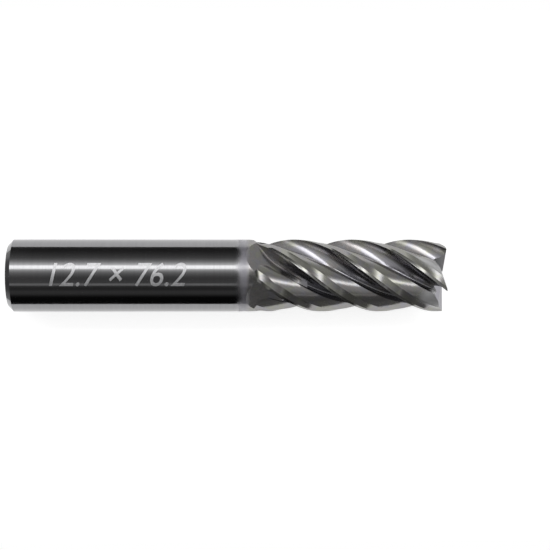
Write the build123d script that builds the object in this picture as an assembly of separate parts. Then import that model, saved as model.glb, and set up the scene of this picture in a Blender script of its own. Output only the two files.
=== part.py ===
"""Solid end mill, 1/2 in size: five right-hand flutes, a plain ground shank and a through coolant duct.

The tool axis lies along X. The origin is the centre of the shank's back face and +X points to the cutting end.
Angles about the axis are measured from +Y towards +Z. The helix is right-hand, so the teeth turn that way as x
grows, and each tooth leads with its cutting edge in the same turning sense.

Two pieces meet face to face on the line where the bare shank ends and the coated cutting end begins:
  shank       plain ground cylinder, chamfered at the back
  fluted_end  relieved teeth, flutes that run out to the surface, and five end teeth round the duct
"""
from build123d import *
from math import acos, atan2, ceil, cos, degrees, hypot, pi, radians, sin, tan
import os

# Driving dimensions, millimetres and degrees
diameter = 12.7             # cutting diameter, at the tip
back_taper = 0.02           # the coated end is this much smaller across at its far end
shank_diameter = 12.7       # ground shank, the same nominal size
overall_length = 76.2       # back face to tip
flute_length = 34.9         # tip to the far end of the flute run-out
coated_collar = 1.2         # plain round stretch behind the flutes that is still coated
run_out_length = 10.2       # stretch over which each flute rises from full depth to the surface
run_out_power = 2.0         # how that rise bends: 1 would be a straight ramp, 2 is the arc of the wheel
floor_bearing = 0.8         # way that the flat floor of the run-out faces, ahead of the cutting edge
floor_hold = 6.0            # last stretch over which it stops turning with the helix
relief_run_out = 1.9        # stretch over which the land relief fades in
relief_fade = 0.18          # how far out the relief starts, as a share of the radius
shank_chamfer = 0.85        # 45 degree chamfer round the back face
coolant_bore = 2.0          # diameter of the duct along the axis

# Teeth, seen in a cut square to the axis
teeth = 5
helix_angle = 38.0          # at the cutting diameter
first_tooth_angle = 43.7    # where one tooth corner stands at the tip
core_diameter = 7.6         # solid core under the flutes
rake_angle = 4.0            # hook of the rake face at the cutting edge
margin_width = 0.06         # strip of full diameter left behind each edge
primary_land = 0.60         # width of the first relief flat
primary_relief = 8.0        # its angle from the tangent at the edge
secondary_land = 1.50       # width of the second relief flat
secondary_relief = 26.5     # its angle from the tangent at the edge
back_radius = 4.0           # rounded back of the tooth, behind the second flat
back_start_angle = 40.0     # way that the rounded back faces where it leaves the second flat
heel_angle = 74.0           # way that it faces at the heel
flute_foot_radius = 0.55    # rounding where the flute floor meets the next tooth's back wall
flute_foot_angle = 32.0     # way that the flute floor faces where this rounding starts

# End teeth
dish_angle = 1.5            # the end edges lean back towards the centre
end_primary_land = 0.5      # width of the first end relief
end_primary_relief = 8.0
end_secondary_relief = 20.0
end_relief_sweep = 66.0     # how far round each end relief is cut, short of the next tooth's edge
gash_depth = 0.55           # depth of each gash at the rim of the duct
gash_slope = 29.0           # the foot of the gash falls away towards the flute
gash_opening = 67.0         # angle between the gash's rake side and its sloping side
gash_foot_radius = 0.25     # rounding along the foot of the gash

# Worked out from the sizes above
radius = diameter / 2
core_radius = core_diameter / 2
lead = pi * diameter / tan(radians(helix_angle))
tooth_pitch = 360 / teeth
coated_length = flute_length + coated_collar
shank_length = overall_length - coated_length
run_out_end = overall_length - flute_length
full_depth_start = run_out_end + run_out_length
clear = 0.25 * radius       # how far the cutters stand outside the blank
over_travel = 12.0          # degrees of arc by which curves run on outside the blank
overlap = 0.5               # bodies run this far past each other where they join
core_dip = 0.1              # the rising floors end this far under the floor of the flutes
gash_reach = 1.3 * radius   # the gash cutter stands this tall on its foot, clear of the whole tooth
wide_step = lead / 25       # sections of a skin stand this far apart where it only turns with the helix
fine_step = 0.65            # and this far apart where it changes size too


def polar(r, angle):
    """Point in a cut square to the axis, at a radius and an angle in degrees."""
    return Vector(r * cos(radians(angle)), r * sin(radians(angle)))


def toward(angle):
    """Unit direction at an angle in degrees."""
    return polar(1.0, angle)


def bearing_of(v):
    """Angle of a direction in degrees."""
    return degrees(atan2(v.Y, v.X))


def hook_arc():
    """Centre and radius of the hooked rake face and floor, for the tooth at angle 0."""
    hook = (radius**2 - core_radius**2) / (2 * (core_radius + radius * sin(radians(rake_angle))))
    return polar(radius, 0) + toward(90 + rake_angle) * hook, hook


def land_points():
    """Tip, end of the first relief flat and end of the second one, for the tooth at angle 0.

    The tip stands a hair outside the cutting diameter, so that trimming to that diameter leaves the margin.
    """
    centre, hook = hook_arc()
    overrun = margin_width * tan(radians(primary_relief))
    tip = centre - toward(90 + rake_angle + degrees(overrun / hook)) * hook
    first_end = tip + toward(-90 - primary_relief) * (margin_width + primary_land)
    second_end = first_end + toward(-90 - secondary_relief) * secondary_land
    return tip, first_end, second_end


def flute_outline():
    """Lines of one flute in a cut square to the axis, for the tooth at angle 0 and the back of the next tooth.

    They come in over the diameter, run down the hooked rake face and floor, round the foot, up the back wall
    to the heel of the next tooth, over its rounded back and out past the diameter again.
    """
    centre, hook = hook_arc()
    outside = centre - toward(90 + rake_angle + over_travel) * hook
    hook_middle = centre - toward((90 + rake_angle + flute_foot_angle) / 2) * hook
    foot_start = centre - toward(flute_foot_angle) * hook

    back_centre = land_points()[2] - toward(-back_start_angle) * back_radius
    facings = (heel_angle, (back_start_angle + heel_angle) / 2, back_start_angle - over_travel)
    heel, back_middle, back_out = [
        (back_centre + toward(-facing) * back_radius).rotate(Axis.Z, tooth_pitch) for facing in facings
    ]

    foot_centre = foot_start + toward(flute_foot_angle) * flute_foot_radius
    to_heel = heel - foot_centre
    swing = degrees(acos(flute_foot_radius / hypot(to_heel.X, to_heel.Y)))
    foot_end_bearing = bearing_of(to_heel) + swing
    foot_middle_bearing = (flute_foot_angle + 180 + foot_end_bearing) / 2
    foot_middle = foot_centre + toward(foot_middle_bearing) * flute_foot_radius
    foot_end = foot_centre + toward(foot_end_bearing) * flute_foot_radius
    return [
        ThreePointArc(outside, hook_middle, foot_start),
        ThreePointArc(foot_start, foot_middle, foot_end),
        Line(foot_end, heel),
        ThreePointArc(heel, back_middle, back_out),
        Line(back_out, outside.rotate(Axis.Z, tooth_pitch)),
    ]


def relief_outline():
    """Lines of one land's relief, for the tooth at angle 0: both flats, then round outside the diameter."""
    tip, first_end, second_end = land_points()
    cut_end = second_end + toward(-90 - secondary_relief) * margin_width
    wall_top = toward(bearing_of(cut_end)) * (radius + clear)
    next_tip = tip.rotate(Axis.Z, -tooth_pitch)
    over_tip = polar(radius + clear, bearing_of(next_tip) + over_travel)
    return [
        Line(tip, first_end),
        Line(first_end, cut_end),
        Line(cut_end, wall_top),
        Line(wall_top, over_tip),
        Line(over_tip, next_tip),
    ]


def all_round(lines):
    """One tooth's lines repeated round the axis, as a face."""
    return make_face([line.rotate(Axis.Z, tooth_pitch * i).edge() for i in range(teeth) for line in lines])


def helix_turn(x):
    """Where the first tooth's edge stands at x."""
    return first_tooth_angle + (x - overall_length) * 360 / lead


def skin(outline, places, size=lambda x: 1.0, turn=helix_turn):
    """Smooth body through an outline stood across the axis at each place, sized and turned as it goes."""
    sections = []
    for x in places:
        stand = Plane(origin=(x, 0, 0), x_dir=(0, 1, 0), z_dir=(1, 0, 0))
        sections.append(stand * scale(outline, by=size(x)).rotate(Axis.Z, turn(x)))
    return loft(sections)


def spread(start, end, step):
    """Evenly spaced places from start to end, about a step apart."""
    count = ceil((end - start) / step)
    return [start + (end - start) * i / count for i in range(count + 1)]


def toothed_body():
    """Star-shaped body that the flutes leave at full depth, wider than the blank over the lands."""
    return skin(all_round(flute_outline()), spread(run_out_end - overlap, overall_length + clear, wide_step))


def rising_core():
    """Five flat floors that lift each flute to the surface: the last marks of the flute wheel."""
    sides = RegularPolygon(1.0, teeth, major_radius=False, rotation=tooth_pitch / 2)
    low = core_radius - core_dip

    def apothem(x):
        share = max(0.0, (full_depth_start - x) / run_out_length)
        return low + (radius - low) * share**run_out_power

    def turn(x):
        return helix_turn(max(x, run_out_end + floor_hold)) + floor_bearing

    return skin(sides, spread(shank_length - overlap, full_depth_start + overlap, fine_step), apothem, turn)


def relieved_body():
    """Body with the relief of the lands, which fades out past the end of the flutes."""
    full_relief = run_out_end + relief_run_out

    def size(x):
        return 1 + relief_fade * min(1.0, max(0.0, (full_relief - x) / relief_run_out))

    places = spread(shank_length - overlap, full_relief, fine_step)
    places += spread(full_relief, overall_length + clear, wide_step)[1:]
    return skin(all_round(relief_outline()), places, size)


def round_the_axis(cutter):
    """The same cutter once for each tooth."""
    return [cutter.rotate(Axis.X, tooth_pitch * i) for i in range(teeth)]


def end_frame():
    """Plane on the end edge of the first tooth: x out along the edge, y ahead of it, z away from the shank."""
    out = Vector(0, cos(radians(first_tooth_angle)), sin(radians(first_tooth_angle)))
    ahead = Vector(0, -sin(radians(first_tooth_angle)), cos(radians(first_tooth_angle)))
    along = out * cos(radians(dish_angle)) + Vector(sin(radians(dish_angle)), 0, 0)
    return Plane(origin=out * radius + Vector(overall_length, 0, 0), x_dir=along, z_dir=along.cross(ahead))


def end_relief_cutter():
    """Space over one end tooth: two flats that fall away behind the end edge, cut over a limited sweep."""
    reach = 2 * radius
    first_drop = end_primary_land * tan(radians(end_primary_relief))
    last_drop = first_drop + reach * tan(radians(end_secondary_relief))
    outline = Polyline(
        (0, 0),
        (-end_primary_land, -first_drop),
        (-end_primary_land - reach, -last_drop),
        (-end_primary_land - reach, clear),
        (0, clear),
        close=True,
    )
    across = Plane(origin=(clear, 0, 0), x_dir=(0, 1, 0), z_dir=(1, 0, 0))
    prism = end_frame() * extrude(across * make_face(outline), amount=-(radius + 2 * clear))

    far = [polar(reach, first_tooth_angle - end_relief_sweep * share) for share in (-0.25, 0, 0.5, 1)]
    stand = Plane(origin=(overall_length - radius, 0, 0), x_dir=(0, 1, 0), z_dir=(1, 0, 0))
    sector = extrude(stand * make_face(Polyline((0, 0), *far, close=True)), amount=2 * radius)
    return prism & sector


def gash_cutter():
    """Space ahead of one end edge: a rake side on the edge, a sloping side and a rounded foot between them."""
    outline = Polyline(
        (0, 0),
        (0, gash_reach),
        (gash_reach * tan(radians(gash_opening)), gash_reach),
        close=True,
    )
    face = make_face(outline)
    face = fillet(face.vertices().sort_by_distance((0, 0))[0], gash_foot_radius)
    slope = radians(gash_slope)
    foot = Plane(
        origin=(-radius, 0, coolant_bore / 2 * tan(slope) - gash_depth),
        x_dir=(0, 1, 0),
        z_dir=(cos(slope), 0, -sin(slope)),
    )
    return end_frame() * extrude(foot * face, amount=2 * radius)


def along_axis(start, solid):
    """A solid that stands on its base, laid along the tool axis from x = start towards the tip."""
    return Pos(start, 0, 0) * Rot(0, 90, 0) * solid


def rod(start, length, across):
    """Round bar along the tool axis."""
    return along_axis(start, Cylinder(across / 2, length, align=(Align.CENTER, Align.CENTER, Align.MIN)))


def tapered_rod():
    """Blank of the cutting end, relieved a hair towards the shank so that the teeth don't rub."""
    narrow = (diameter - back_taper) / 2
    return along_axis(
        shank_length, Cone(narrow, radius, coated_length, align=(Align.CENTER, Align.CENTER, Align.MIN))
    )


def shank():
    """Plain ground cylinder with a chamfered back and the coolant duct through it."""
    bar = rod(0, shank_length, shank_diameter)
    bar = chamfer(bar.edges().sort_by(Axis.X)[0], shank_chamfer)
    return bar - rod(0, shank_length, coolant_bore)


def fluted_end():
    """Coated cutting end: flutes and land relief, then the end relief, the gashes and the duct."""
    bar = (tapered_rod() & relieved_body()) & (toothed_body() + rising_core())
    for cutter in (end_relief_cutter(), gash_cutter()):
        for turned in round_the_axis(cutter):
            bar -= turned
    return bar - rod(shank_length, coated_length, coolant_bore)


os.makedirs("parts", exist_ok=True)
for name, piece in (("shank", shank()), ("fluted_end", fluted_end())):
    solid = piece.solids()[0]
    solid.label = name
    export_step(solid, f"parts/{name}.step")
    print(name, "solids", len(piece.solids()), "volume", round(solid.volume, 3), "mm3")
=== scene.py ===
"""Half-inch end mill, five right-hand flutes: the finish of its ground shank and coated cutting end."""

from math import cos, pi, radians, sin, tan

import bmesh
import bpy
from mathutils import Matrix, Vector


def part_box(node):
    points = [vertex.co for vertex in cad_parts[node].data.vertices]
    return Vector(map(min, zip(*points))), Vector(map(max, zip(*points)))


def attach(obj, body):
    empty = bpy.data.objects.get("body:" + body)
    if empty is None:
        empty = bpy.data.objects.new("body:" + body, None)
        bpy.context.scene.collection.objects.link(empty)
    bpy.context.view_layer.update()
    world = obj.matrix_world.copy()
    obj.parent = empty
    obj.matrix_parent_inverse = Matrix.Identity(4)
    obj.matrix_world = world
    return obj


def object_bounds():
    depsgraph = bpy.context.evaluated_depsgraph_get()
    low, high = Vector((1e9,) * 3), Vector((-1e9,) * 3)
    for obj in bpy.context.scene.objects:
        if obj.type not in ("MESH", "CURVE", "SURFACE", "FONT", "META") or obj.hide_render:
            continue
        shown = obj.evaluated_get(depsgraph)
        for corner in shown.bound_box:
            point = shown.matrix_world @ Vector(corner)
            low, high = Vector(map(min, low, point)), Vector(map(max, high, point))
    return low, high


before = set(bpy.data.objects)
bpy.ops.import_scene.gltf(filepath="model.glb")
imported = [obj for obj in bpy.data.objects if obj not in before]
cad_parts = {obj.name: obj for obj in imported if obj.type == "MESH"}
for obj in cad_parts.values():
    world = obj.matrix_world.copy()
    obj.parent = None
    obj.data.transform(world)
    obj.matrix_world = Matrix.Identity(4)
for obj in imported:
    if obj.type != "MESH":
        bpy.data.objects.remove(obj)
cad_low, cad_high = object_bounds()

# ----------------------------------------------------------------------------------------------------------
# Shank. The bare end of the blank of cemented tungsten carbide, ground between wheels, which leave very fine
# rings round it, so it is bright but not a mirror. The coating fades out over its last millimetre, where the
# holder's rim shades it in the coating chamber.
# ----------------------------------------------------------------------------------------------------------
MM = 0.001
shank_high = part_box("shank")[1]
tool_radius = shank_high.z
coating_line = shank_high.x
ground_grey = (0.26, 0.26, 0.265, 1)
ring_grey = (0.235, 0.235, 0.24, 1)
coating_grey = (0.276, 0.272, 0.297, 1)
rings_per_metre = 9000.0
ring_stretch = 0.012            # the rings change this much more slowly round the tool than along it
groove_depth = 0.004 * MM
groove_strength = 0.10
fade_start = -0.9 * MM          # the coating fades in from here to there, seen from the coating line
fade_end = 1.2 * MM
fade_wobble = 0.12 * MM
polished_roughness = (0.085, 0.135)
matte_roughness = 0.60          # the coating where no wheel has smoothed the metal under it
matte_coat = 0.8
film_lacquer = {"Coat Roughness": 0.15, "Coat IOR": 2.0}
noise_span = (0.3, 0.7)         # most of a noise lies in this range
noise_core = (0.35, 0.65)       # and this one gives it more contrast


def wire(tree, kind, links=(), **settings):
    """A shader node with its settings, and its named or numbered inputs set or linked."""
    made = tree.nodes.new(kind)
    for name, value in settings.items():
        setattr(made, name, value)
    for socket, value in dict(links).items():
        if isinstance(value, bpy.types.NodeSocket):
            tree.links.new(value, made.inputs[socket])
        else:
            made.inputs[socket].default_value = value
    return made


def maths(tree, operation, *values):
    """The result of one sum."""
    return wire(tree, "ShaderNodeMath", dict(enumerate(values)), operation=operation).outputs[0]


def remap(tree, value, low, high, to_low=0.0, to_high=1.0, smooth=False):
    """A value carried from one range to another, held at both ends."""
    limits = {"Value": value, "From Min": low, "From Max": high, "To Min": to_low, "To Max": to_high}
    kind = "SMOOTHSTEP" if smooth else "LINEAR"
    return wire(tree, "ShaderNodeMapRange", limits, interpolation_type=kind).outputs["Result"]


def between(tree, share, first, second):
    """Two values, mixed by a share."""
    return wire(tree, "ShaderNodeMix", {0: share, 2: first, 3: second}, data_type="FLOAT").outputs[0]


def blend(tree, share, first, second, kind="MIX"):
    """Two colours, mixed by a share."""
    mix = wire(tree, "ShaderNodeMix", {0: share, 6: first, 7: second}, data_type="RGBA", blend_type=kind)
    return mix.outputs[2]


def stretch(tree, place, factors):
    """A place with its three parts multiplied."""
    return wire(tree, "ShaderNodeVectorMath", {0: place, 1: factors}, operation="MULTIPLY").outputs[0]


def noise(tree, place, scale, detail, roughness=0.5, distortion=0.0):
    """Noise at a place, with so many features to the metre."""
    inputs = {"Vector": place, "Scale": scale, "Detail": detail}
    inputs |= {"Roughness": roughness, "Distortion": distortion}
    return wire(tree, "ShaderNodeTexNoise", inputs).outputs["Fac"]


def engrave(tree, surface, height, strength, depth):
    """Gives a surface its fine relief."""
    bump = wire(tree, "ShaderNodeBump", {"Strength": strength, "Distance": depth, "Height": height})
    tree.links.new(bump.outputs["Normal"], surface["Normal"])


def effect_group(name, *outputs):
    """A node group that works out values at a place, with its place and its output sockets."""
    group = bpy.data.node_groups.new(name, "ShaderNodeTree")
    group.interface.new_socket("Place", in_out="INPUT", socket_type="NodeSocketVector")
    for socket in outputs:
        group.interface.new_socket(socket, in_out="OUTPUT", socket_type="NodeSocketFloat")
    point = group.nodes.new("NodeGroupInput").outputs["Place"]
    return group, point, group.nodes.new("NodeGroupOutput").inputs


def new_material(name, finish):
    """A material with one Principled surface; finish holds its plain socket values."""
    material = bpy.data.materials.new(name)
    material.use_nodes = True
    tree = material.node_tree
    tree.nodes.clear()
    surface = wire(tree, "ShaderNodeBsdfPrincipled", finish)
    out = wire(tree, "ShaderNodeOutputMaterial")
    tree.links.new(surface.outputs["BSDF"], out.inputs["Surface"])
    place = wire(tree, "ShaderNodeTexCoord").outputs["Object"]
    return material, tree, surface.inputs, place


def dress(node, material):
    """Gives a CAD node its finish in place of the plain one."""
    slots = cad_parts[node].data.materials
    slots.clear()
    slots.append(material)


# Grinding rings, noise that changes quickly along the tool and hardly at all round it, and faint smudges.
rings, point, put_out = effect_group("grinding_rings", "Rings", "Smudges")
squeezed = stretch(rings, point, (1, ring_stretch, ring_stretch))
rings.links.new(noise(rings, squeezed, rings_per_metre, 3.0, roughness=0.65), put_out["Rings"])
rings.links.new(noise(rings, point, 160.0, 4.0), put_out["Smudges"])

# How far the coating covers the tool: none on the shank, all of the fluted end, a soft ragged edge between.
cover, point, put_out = effect_group("coating_cover", "Cover")
along = wire(cover, "ShaderNodeSeparateXYZ", {0: point}).outputs["X"]
wobble = remap(cover, noise(cover, point, 900.0, 2.0), *noise_span, -fade_wobble, fade_wobble)
ragged = maths(cover, "ADD", along, wobble)
covering = remap(cover, ragged, coating_line + fade_start, coating_line + fade_end, smooth=True)
cover.links.new(covering, put_out["Cover"])


def ground_carbide(tree, place):
    """The metal under the coating: its colour, its rings and smudges, and how far the coating covers it."""
    ground = wire(tree, "ShaderNodeGroup", {"Place": place}, node_tree=rings).outputs
    colour = blend(tree, remap(tree, ground["Rings"], *noise_core), ring_grey, ground_grey)
    return colour, ground, wire(tree, "ShaderNodeGroup", {"Place": place}, node_tree=cover).outputs["Cover"]


bare, tree, surface, place = new_material("bare_ground_carbide", {"Metallic": 1.0, **film_lacquer})
carbide, ground, covered = ground_carbide(tree, place)
tree.links.new(blend(tree, covered, carbide, coating_grey), surface["Base Color"])
polish = remap(tree, ground["Smudges"], 0.3, 0.75, *polished_roughness)
tree.links.new(between(tree, covered, polish, matte_roughness), surface["Roughness"])
tree.links.new(maths(tree, "MULTIPLY", covered, matte_coat), surface["Coat Weight"])
engrave(tree, surface, ground["Rings"], groove_strength, groove_depth)
dress("shank", bare)

# ----------------------------------------------------------------------------------------------------------
# Size mark. The plain size of the tool, diameter by length in millimetres, burnt into the shank with a laser.
# It stands as a thin frosted skin on the bright metal, read with the cutting end to the right.
# ----------------------------------------------------------------------------------------------------------
mark_text = "12.7 \u00d7 76.2"
mark_slant = 0.25
mark_start = 7.6 * MM
mark_length = 23.5 * MM
mark_height = 4.1 * MM
mark_middle = 0.18 * MM         # its middle line lies this far round from the top of the shank
mark_proud = 0.015 * MM
mark_depth = 0.05 * MM
mark_step = 0.2 * MM            # the strokes are cut this fine before they are bent round the shank
frost_dark = (0.41, 0.41, 0.42, 1)
frost_light = (0.61, 0.61, 0.62, 1)
frost_roughness = (0.36, 0.50)
frost_pits = 0.01 * MM

words = bpy.data.curves.new("size_mark", "FONT")
words.body = mark_text
words.shear = mark_slant
words.extrude = 0.5
words.resolution_u = 6
lettering = bpy.data.objects.new("size_mark", words)
bpy.context.scene.collection.objects.link(lettering)
bpy.context.view_layer.update()
flat = bpy.data.meshes.new_from_object(lettering)
bpy.data.objects.remove(lettering)

strokes = bmesh.new()
strokes.from_mesh(flat)
bmesh.ops.remove_doubles(strokes, verts=strokes.verts, dist=1e-5)
left, right = min(v.co.x for v in strokes.verts), max(v.co.x for v in strokes.verts)
foot, head = min(v.co.y for v in strokes.verts), max(v.co.y for v in strokes.verts)
for v in strokes.verts:
    v.co.x = mark_start + (v.co.x - left) / (right - left) * mark_length
    v.co.y = mark_middle + ((v.co.y - foot) / (head - foot) - 0.5) * mark_height
    v.co.z = mark_proud if v.co.z > 0 else mark_proud - mark_depth
cut = mark_middle - mark_height / 2 + mark_step
while cut < mark_middle + mark_height / 2:
    everything = strokes.verts[:] + strokes.edges[:] + strokes.faces[:]
    bmesh.ops.bisect_plane(strokes, geom=everything, dist=1e-8, plane_co=(0, cut, 0), plane_no=(0, 1, 0))
    cut += mark_step
for v in strokes.verts:
    turn, height = v.co.y / tool_radius, tool_radius + v.co.z
    v.co.y, v.co.z = height * sin(turn), height * cos(turn)
bmesh.ops.triangulate(strokes, faces=strokes.faces)
bmesh.ops.recalc_face_normals(strokes, faces=strokes.faces)
strokes.to_mesh(flat)
strokes.free()
mark = bpy.data.objects.new("size_mark", flat)
bpy.context.scene.collection.objects.link(mark)

frost, tree, surface, place = new_material("laser_frost", {"Metallic": 0.8, "Specular IOR Level": 0.35})
grit = noise(tree, place, 5200.0, 2.0)
tree.links.new(blend(tree, remap(tree, grit, *noise_core), frost_dark, frost_light), surface["Base Color"])
tree.links.new(remap(tree, grit, *noise_span, *frost_roughness), surface["Roughness"])
engrave(tree, surface, grit, 0.3, frost_pits)
flat.materials.clear()
flat.materials.append(frost)
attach(mark, "root")

# ----------------------------------------------------------------------------------------------------------
# Fluted end. The same solid carbide, with five flutes ground into it and then a thin hard ceramic film grown
# over it in a vacuum chamber: matte lavender grey on the collar, and glossier, with faint tints where its
# thickness changes, on the flutes, which the wheel has smoothed.
# ----------------------------------------------------------------------------------------------------------
helix_angle = radians(38)
helix_lead = 2 * pi * tool_radius / tan(helix_angle)
coated_collar = 1.2 * MM
flutes_start = coating_line + coated_collar
flute_floor = 0.62 * tool_radius
tool_end = cad_high.x
film_lavender = (0.284, 0.278, 0.309, 1)
film_violet = (0.240, 0.235, 0.258, 1)
film_grey = (0.240, 0.239, 0.241, 1)
film_rose = (0.260, 0.240, 0.235, 1)
film_straw = (0.254, 0.252, 0.222, 1)
film_bands = (
    (0.0, film_violet), (0.20, film_violet), (0.40, film_grey), (0.56, film_rose), (0.68, film_grey),
    (0.82, film_straw), (1.0, film_straw),
)
film_depths = (0.2, 0.78)       # places in the list of bands, from deep in the flutes to the lands
film_patches = 0.52             # patches move the tint by this much either way
wheel_marks_per_metre = 3600.0
wheel_mark_stretch = 0.05       # they change this much more slowly along the flutes than across
mark_shades = (0.93, 1.05)      # they darken and lighten the film by this much
mark_roughness = 0.03
flute_roughness = 0.19
flute_coat = 0.3
under_roughness = 0.11
# a lighter grey for the margins: partly rubbed wear, partly a painted highlight along the cutting edges
edge_wear_and_glint_grey = (0.42, 0.42, 0.41, 1)
edge_wear_and_glint = 0.5
# painted highlight: the gash faces that look sideways get this light grey in place of the film
gash_painted_highlight_grey = (0.58, 0.58, 0.585, 1)
gash_roughness = (0.27, 0.50)   # on the faces that look along the tool, and on those that look sideways
gash_fronts = (                 # slope out from the axis, then start and end on the axis, seen from the tip
    (0.55, -0.35 * MM, 0.15 * MM),
    (1.5, 3.0 * MM, 4.8 * MM),
)

lacquered = {"Metallic": 1.0, "Specular Tint": (0.6, 0.6, 0.6, 1), **film_lacquer}
coat, tree, surface, place = new_material("film_coated_carbide", lacquered)
carbide, _, covered = ground_carbide(tree, place)
along = wire(tree, "ShaderNodeSeparateXYZ", {0: place}).outputs["X"]
from_axis = wire(tree, "ShaderNodeVectorMath", {0: stretch(tree, place, (0, 1, 1))}, operation="LENGTH")
from_axis = from_axis.outputs["Value"]
facing = wire(tree, "ShaderNodeNewGeometry").outputs["Normal"]
facing = wire(tree, "ShaderNodeSeparateXYZ", {0: facing}).outputs["X"]
in_flutes = remap(tree, along, flutes_start - 0.3 * MM, flutes_start + 0.9 * MM, smooth=True)

# Wheel marks run along the flutes: the tool is unwound about its axis before the noise is read.
unwind = maths(tree, "MULTIPLY", along, -2 * pi / helix_lead)
unwound = wire(tree, "ShaderNodeVectorRotate", {"Vector": place, "Angle": unwind}, rotation_type="X_AXIS")
drawn_out = stretch(tree, unwound.outputs[0], (wheel_mark_stretch, 1, 1))
marks = noise(tree, drawn_out, wheel_marks_per_metre, 2.0)

# The film is thickest near the edges, so its tint goes from violet deep in the flutes to straw at the lands.
patches = noise(tree, place, 420.0, 3.0, distortion=0.8)
patches = remap(tree, patches, *noise_span, -film_patches, film_patches)
depth = remap(tree, from_axis, flute_floor, tool_radius, *film_depths)
tint = wire(tree, "ShaderNodeValToRGB", {0: maths(tree, "ADD", depth, patches)})
bands = tint.color_ramp.elements
bands[0].position, bands[0].color = film_bands[0]
bands[1].position, bands[1].color = film_bands[-1]
for position, colour in film_bands[1:-1]:
    bands.new(position).color = colour
film = blend(tree, 1.0, tint.outputs["Color"], remap(tree, marks, *noise_span, *mark_shades), "MULTIPLY")
film = blend(tree, in_flutes, film_lavender, film)

# The margins behind the cutting edges are at full diameter: painted lighter, partly as rubbed wear and partly
# as a painted highlight line along each edge.
margin = remap(tree, from_axis, tool_radius - 0.05 * MM, tool_radius - 0.02 * MM)
fluted = remap(tree, along, flutes_start, flutes_start + 4 * MM, smooth=True)
worn_and_glint = maths(tree, "MULTIPLY", maths(tree, "MULTIPLY", margin, fluted), edge_wear_and_glint)
film = blend(tree, worn_and_glint, film, edge_wear_and_glint_grey)


def past_front(slope, start, end):
    """How far a point is past a sloping front of the gashes' finish."""
    leaning = maths(tree, "MULTIPLY_ADD", from_axis, slope, along)
    return remap(tree, leaning, tool_end + start, tool_end + end, smooth=True)


# The gashes between the end teeth are cut last, with a coarser wheel, from the duct out along the backs of
# the teeth. They stay short of the rim, and leave out the rake faces, which look away from the tip. Where the
# gash faces look sideways their colour is a painted highlight, a light grey in place of the film; where they
# look along the tool they keep the lavender film.
gashed = maths(tree, "MAXIMUM", *[past_front(*front) for front in gash_fronts])
inside_rim = remap(tree, from_axis, tool_radius - 0.55 * MM, tool_radius - 0.25 * MM, 1.0, 0.0)
open_side = maths(tree, "MULTIPLY", inside_rim, remap(tree, facing, -0.2, 0.0))
gashed = maths(tree, "MULTIPLY", gashed, open_side)
sideways = remap(tree, facing, 0.55, 0.75, 1.0, 0.0)
# paints the sideways-looking gash faces light grey, a painted highlight
film = blend(tree, gashed, film, blend(tree, sideways, film_lavender, gash_painted_highlight_grey))
tree.links.new(blend(tree, covered, carbide, film), surface["Base Color"])

satin = remap(tree, in_flutes, 0.0, 1.0, matte_roughness, flute_roughness)
satin = maths(tree, "ADD", satin, remap(tree, marks, *noise_span, -mark_roughness, mark_roughness))
satin = between(tree, gashed, satin, remap(tree, sideways, 0.0, 1.0, *gash_roughness))
tree.links.new(between(tree, covered, under_roughness, satin), surface["Roughness"])
glaze = remap(tree, in_flutes, 0.0, 1.0, matte_coat, flute_coat)
tree.links.new(maths(tree, "MULTIPLY", covered, glaze), surface["Coat Weight"])
engrave(tree, surface, marks, groove_strength, groove_depth)
dress("fluted_end", coat)

# ----------------------------------------------------------------------------------------------------------
# Table, lights and camera. The tool lies on a narrow white card in a dark room, between two long lamps: metal
# shows what is round it, so the card, the lamps and the dark between them draw its shape.
# ----------------------------------------------------------------------------------------------------------
middle = (cad_low + cad_high) / 2
card_start = -12 * MM
card_end = 240 * MM
card_width = 96 * MM
card_white = (0.8, 0.8, 0.8, 1)
card_glow = 0.6                 # it is lit from all round, not only by the lamps
bpy.ops.mesh.primitive_grid_add(size=1, location=(0, 0, 0))
card = bpy.context.object
card.name = "white_card"
sized = Matrix.Diagonal((card_end - card_start, card_width, 1, 1))
card.data.transform(Matrix.Translation(((card_start + card_end) / 2, 0, cad_low.z)) @ sized)
paper = bpy.data.materials.new("white_card")
paper.use_nodes = True
tree = paper.node_tree
tree.nodes.clear()
chalk = wire(tree, "ShaderNodeBsdfDiffuse", {"Color": card_white}).outputs[0]
glow = wire(tree, "ShaderNodeEmission", {"Color": (1, 1, 1, 1), "Strength": card_glow}).outputs[0]
both = wire(tree, "ShaderNodeAddShader", {0: chalk, 1: glow}).outputs[0]
wire(tree, "ShaderNodeOutputMaterial", {"Surface": both})
card.data.materials.append(paper)

# What the metal sees of the room, by bearing from straight up towards +Y, in degrees, and brightness: first
# square to the tool, then off towards the shank's end, then off past the tip. The last list fades the far
# ends, by how far the view leans towards +X.
square_on = (
    (-104, 0.006), (-74, 0.006), (-67, 0.03), (-60, 0.09), (-52, 0.10), (-46, 0.06), (-40, 0.05),
    (-26, 0.14), (-18, 0.14), (-12, 0.12), (-5, 0.14), (2, 0.24), (8, 0.36), (14, 0.66), (20, 1.4),
    (33, 1.7), (38, 1.15), (44, 0.60), (51, 0.30), (58, 0.17), (67, 0.11), (80, 0.055), (92, 0.035),
    (104, 0.08),
)
shank_side = (
    (-180, 0.50), (-120, 0.30), (-104, 0.06), (-80, 0.15), (-60, 0.22), (-45, 0.31), (-30, 0.45),
    (-15, 0.70), (0, 0.95), (12, 0.95), (18, 1.25), (26, 2.6), (33, 3.7), (42, 3.7), (49, 1.6),
    (55, 0.85), (75, 0.70), (95, 0.50), (104, 0.50),
)
tip_side = (
    (-104, 0.14), (-75, 0.17), (-60, 0.12), (-35, 0.15), (-25, 0.22), (-15, 0.40), (0, 0.58), (12, 0.60),
    (18, 0.65), (25, 1.00), (34, 1.70), (42, 0.60), (54, 0.40), (72, 0.52), (87, 0.54), (104, 0.85),
)
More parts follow.
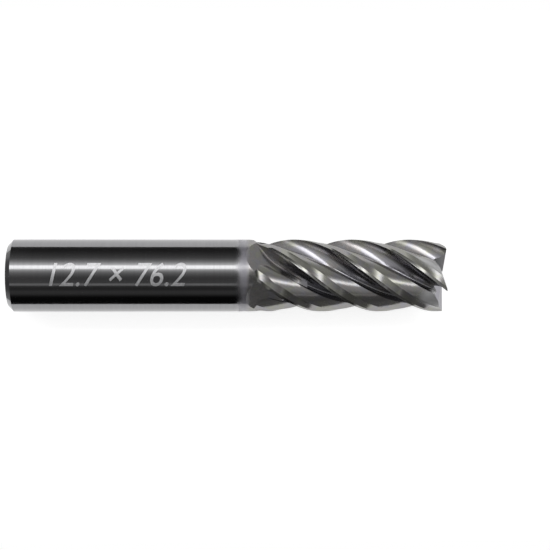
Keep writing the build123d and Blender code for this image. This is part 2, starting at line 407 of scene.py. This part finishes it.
by_lean = (
    (-90, 0.45), (-76, 0.30), (-64, 0.42), (-56, 0.88), (-45, 1.0), (-28, 1.0), (-16, 0.68),
    (0, 0.9), (14, 1.0), (45, 1.0), (55, 0.3), (65, 0.15), (72, 1.0), (90, 1.0),
)
square_limits = (radians(9), radians(16))   # a view that leans less than the first is square to the tool
end_to_end = radians(5)                     # the two side lists change over within this lean
soft_light = 0.6                            # what dull surfaces get of the room


def brightness(tree, angle, widest, levels):
    """Brightness read off a list of (degrees, level) by an angle in radians."""
    scale = wire(tree, "ShaderNodeValToRGB", {0: remap(tree, angle, -radians(widest), radians(widest))})
    stops = scale.color_ramp.elements
    first, last = levels[0], levels[-1]
    stops[0].position, stops[0].color = (first[0] / widest + 1) / 2, (first[1],) * 3 + (1,)
    stops[1].position, stops[1].color = (last[0] / widest + 1) / 2, (last[1],) * 3 + (1,)
    for degrees_round, level in levels[1:-1]:
        stops.new((degrees_round / widest + 1) / 2).color = (level,) * 3 + (1,)
    return scale.outputs["Color"]


world = bpy.data.worlds.new("studio")
bpy.context.scene.world = world
world.use_nodes = True
tree = world.node_tree
tree.nodes.clear()
way = wire(tree, "ShaderNodeTexCoord").outputs["Generated"]
axes = wire(tree, "ShaderNodeSeparateXYZ", {0: way}).outputs
bearing = maths(tree, "ARCTAN2", axes["Y"], axes["Z"])
lean = maths(tree, "ARCSINE", axes["X"])
sides = brightness(tree, bearing, 180, shank_side), brightness(tree, bearing, 180, tip_side)
either = between(tree, remap(tree, lean, -end_to_end, end_to_end), *sides)
faded = maths(tree, "MULTIPLY", either, brightness(tree, lean, 90, by_lean))
aside = remap(tree, maths(tree, "ABSOLUTE", lean), *square_limits, smooth=True)
seen = between(tree, aside, brightness(tree, bearing, 180, square_on), faded)
ray = wire(tree, "ShaderNodeLightPath").outputs
level = between(tree, ray["Is Camera Ray"], between(tree, ray["Is Glossy Ray"], soft_light, seen), 1.0)
sky = wire(tree, "ShaderNodeBackground", {"Color": (1, 1, 1, 1), "Strength": level}).outputs[0]
wire(tree, "ShaderNodeOutputWorld", {"Surface": sky})
world.cycles.sampling_method = "NONE"


def strip_light(name, bearing, spread, radiance, length=1.1, distance=0.45, along=-0.08):
    """A long lamp parallel to the tool, at a bearing in degrees from straight up towards +Y.

    The spread is how wide it looks from the tool, also in degrees.
    """
    lamp = bpy.data.lights.new(name, "AREA")
    lamp.shape = "RECTANGLE"
    lamp.size = length
    lamp.size_y = 2 * distance * tan(radians(spread) / 2)
    lamp.energy = radiance * pi * lamp.size * lamp.size_y
    holder = bpy.data.objects.new(name, lamp)
    bpy.context.scene.collection.objects.link(holder)
    up = Vector((0, sin(radians(bearing)), cos(radians(bearing))))
    holder.location = Vector((middle.x + along, 0, 0)) + up * distance
    holder.rotation_euler = (-radians(bearing), 0, 0)
    holder.visible_camera = False


strip_light("main_strip", bearing=26.2, spread=11.0, radiance=2.0)
strip_light("thin_strip", bearing=-28.4, spread=7.0, radiance=0.28)

camera_turn = radians(1.95)
eye_place = (middle.x - 0.105 * MM, 0.088 * MM, 250 * MM)
camera = bpy.data.cameras.new("camera")
camera.sensor_width = 36
camera.lens = 92.88
camera.clip_start = 0.01
camera.clip_end = 10
eye = bpy.data.objects.new("camera", camera)
bpy.context.scene.collection.objects.link(eye)
eye.location = eye_place
eye.rotation_euler = (0, -camera_turn, 0)
bpy.context.scene.camera = eye
bpy.context.scene.view_settings.view_transform = "Standard"
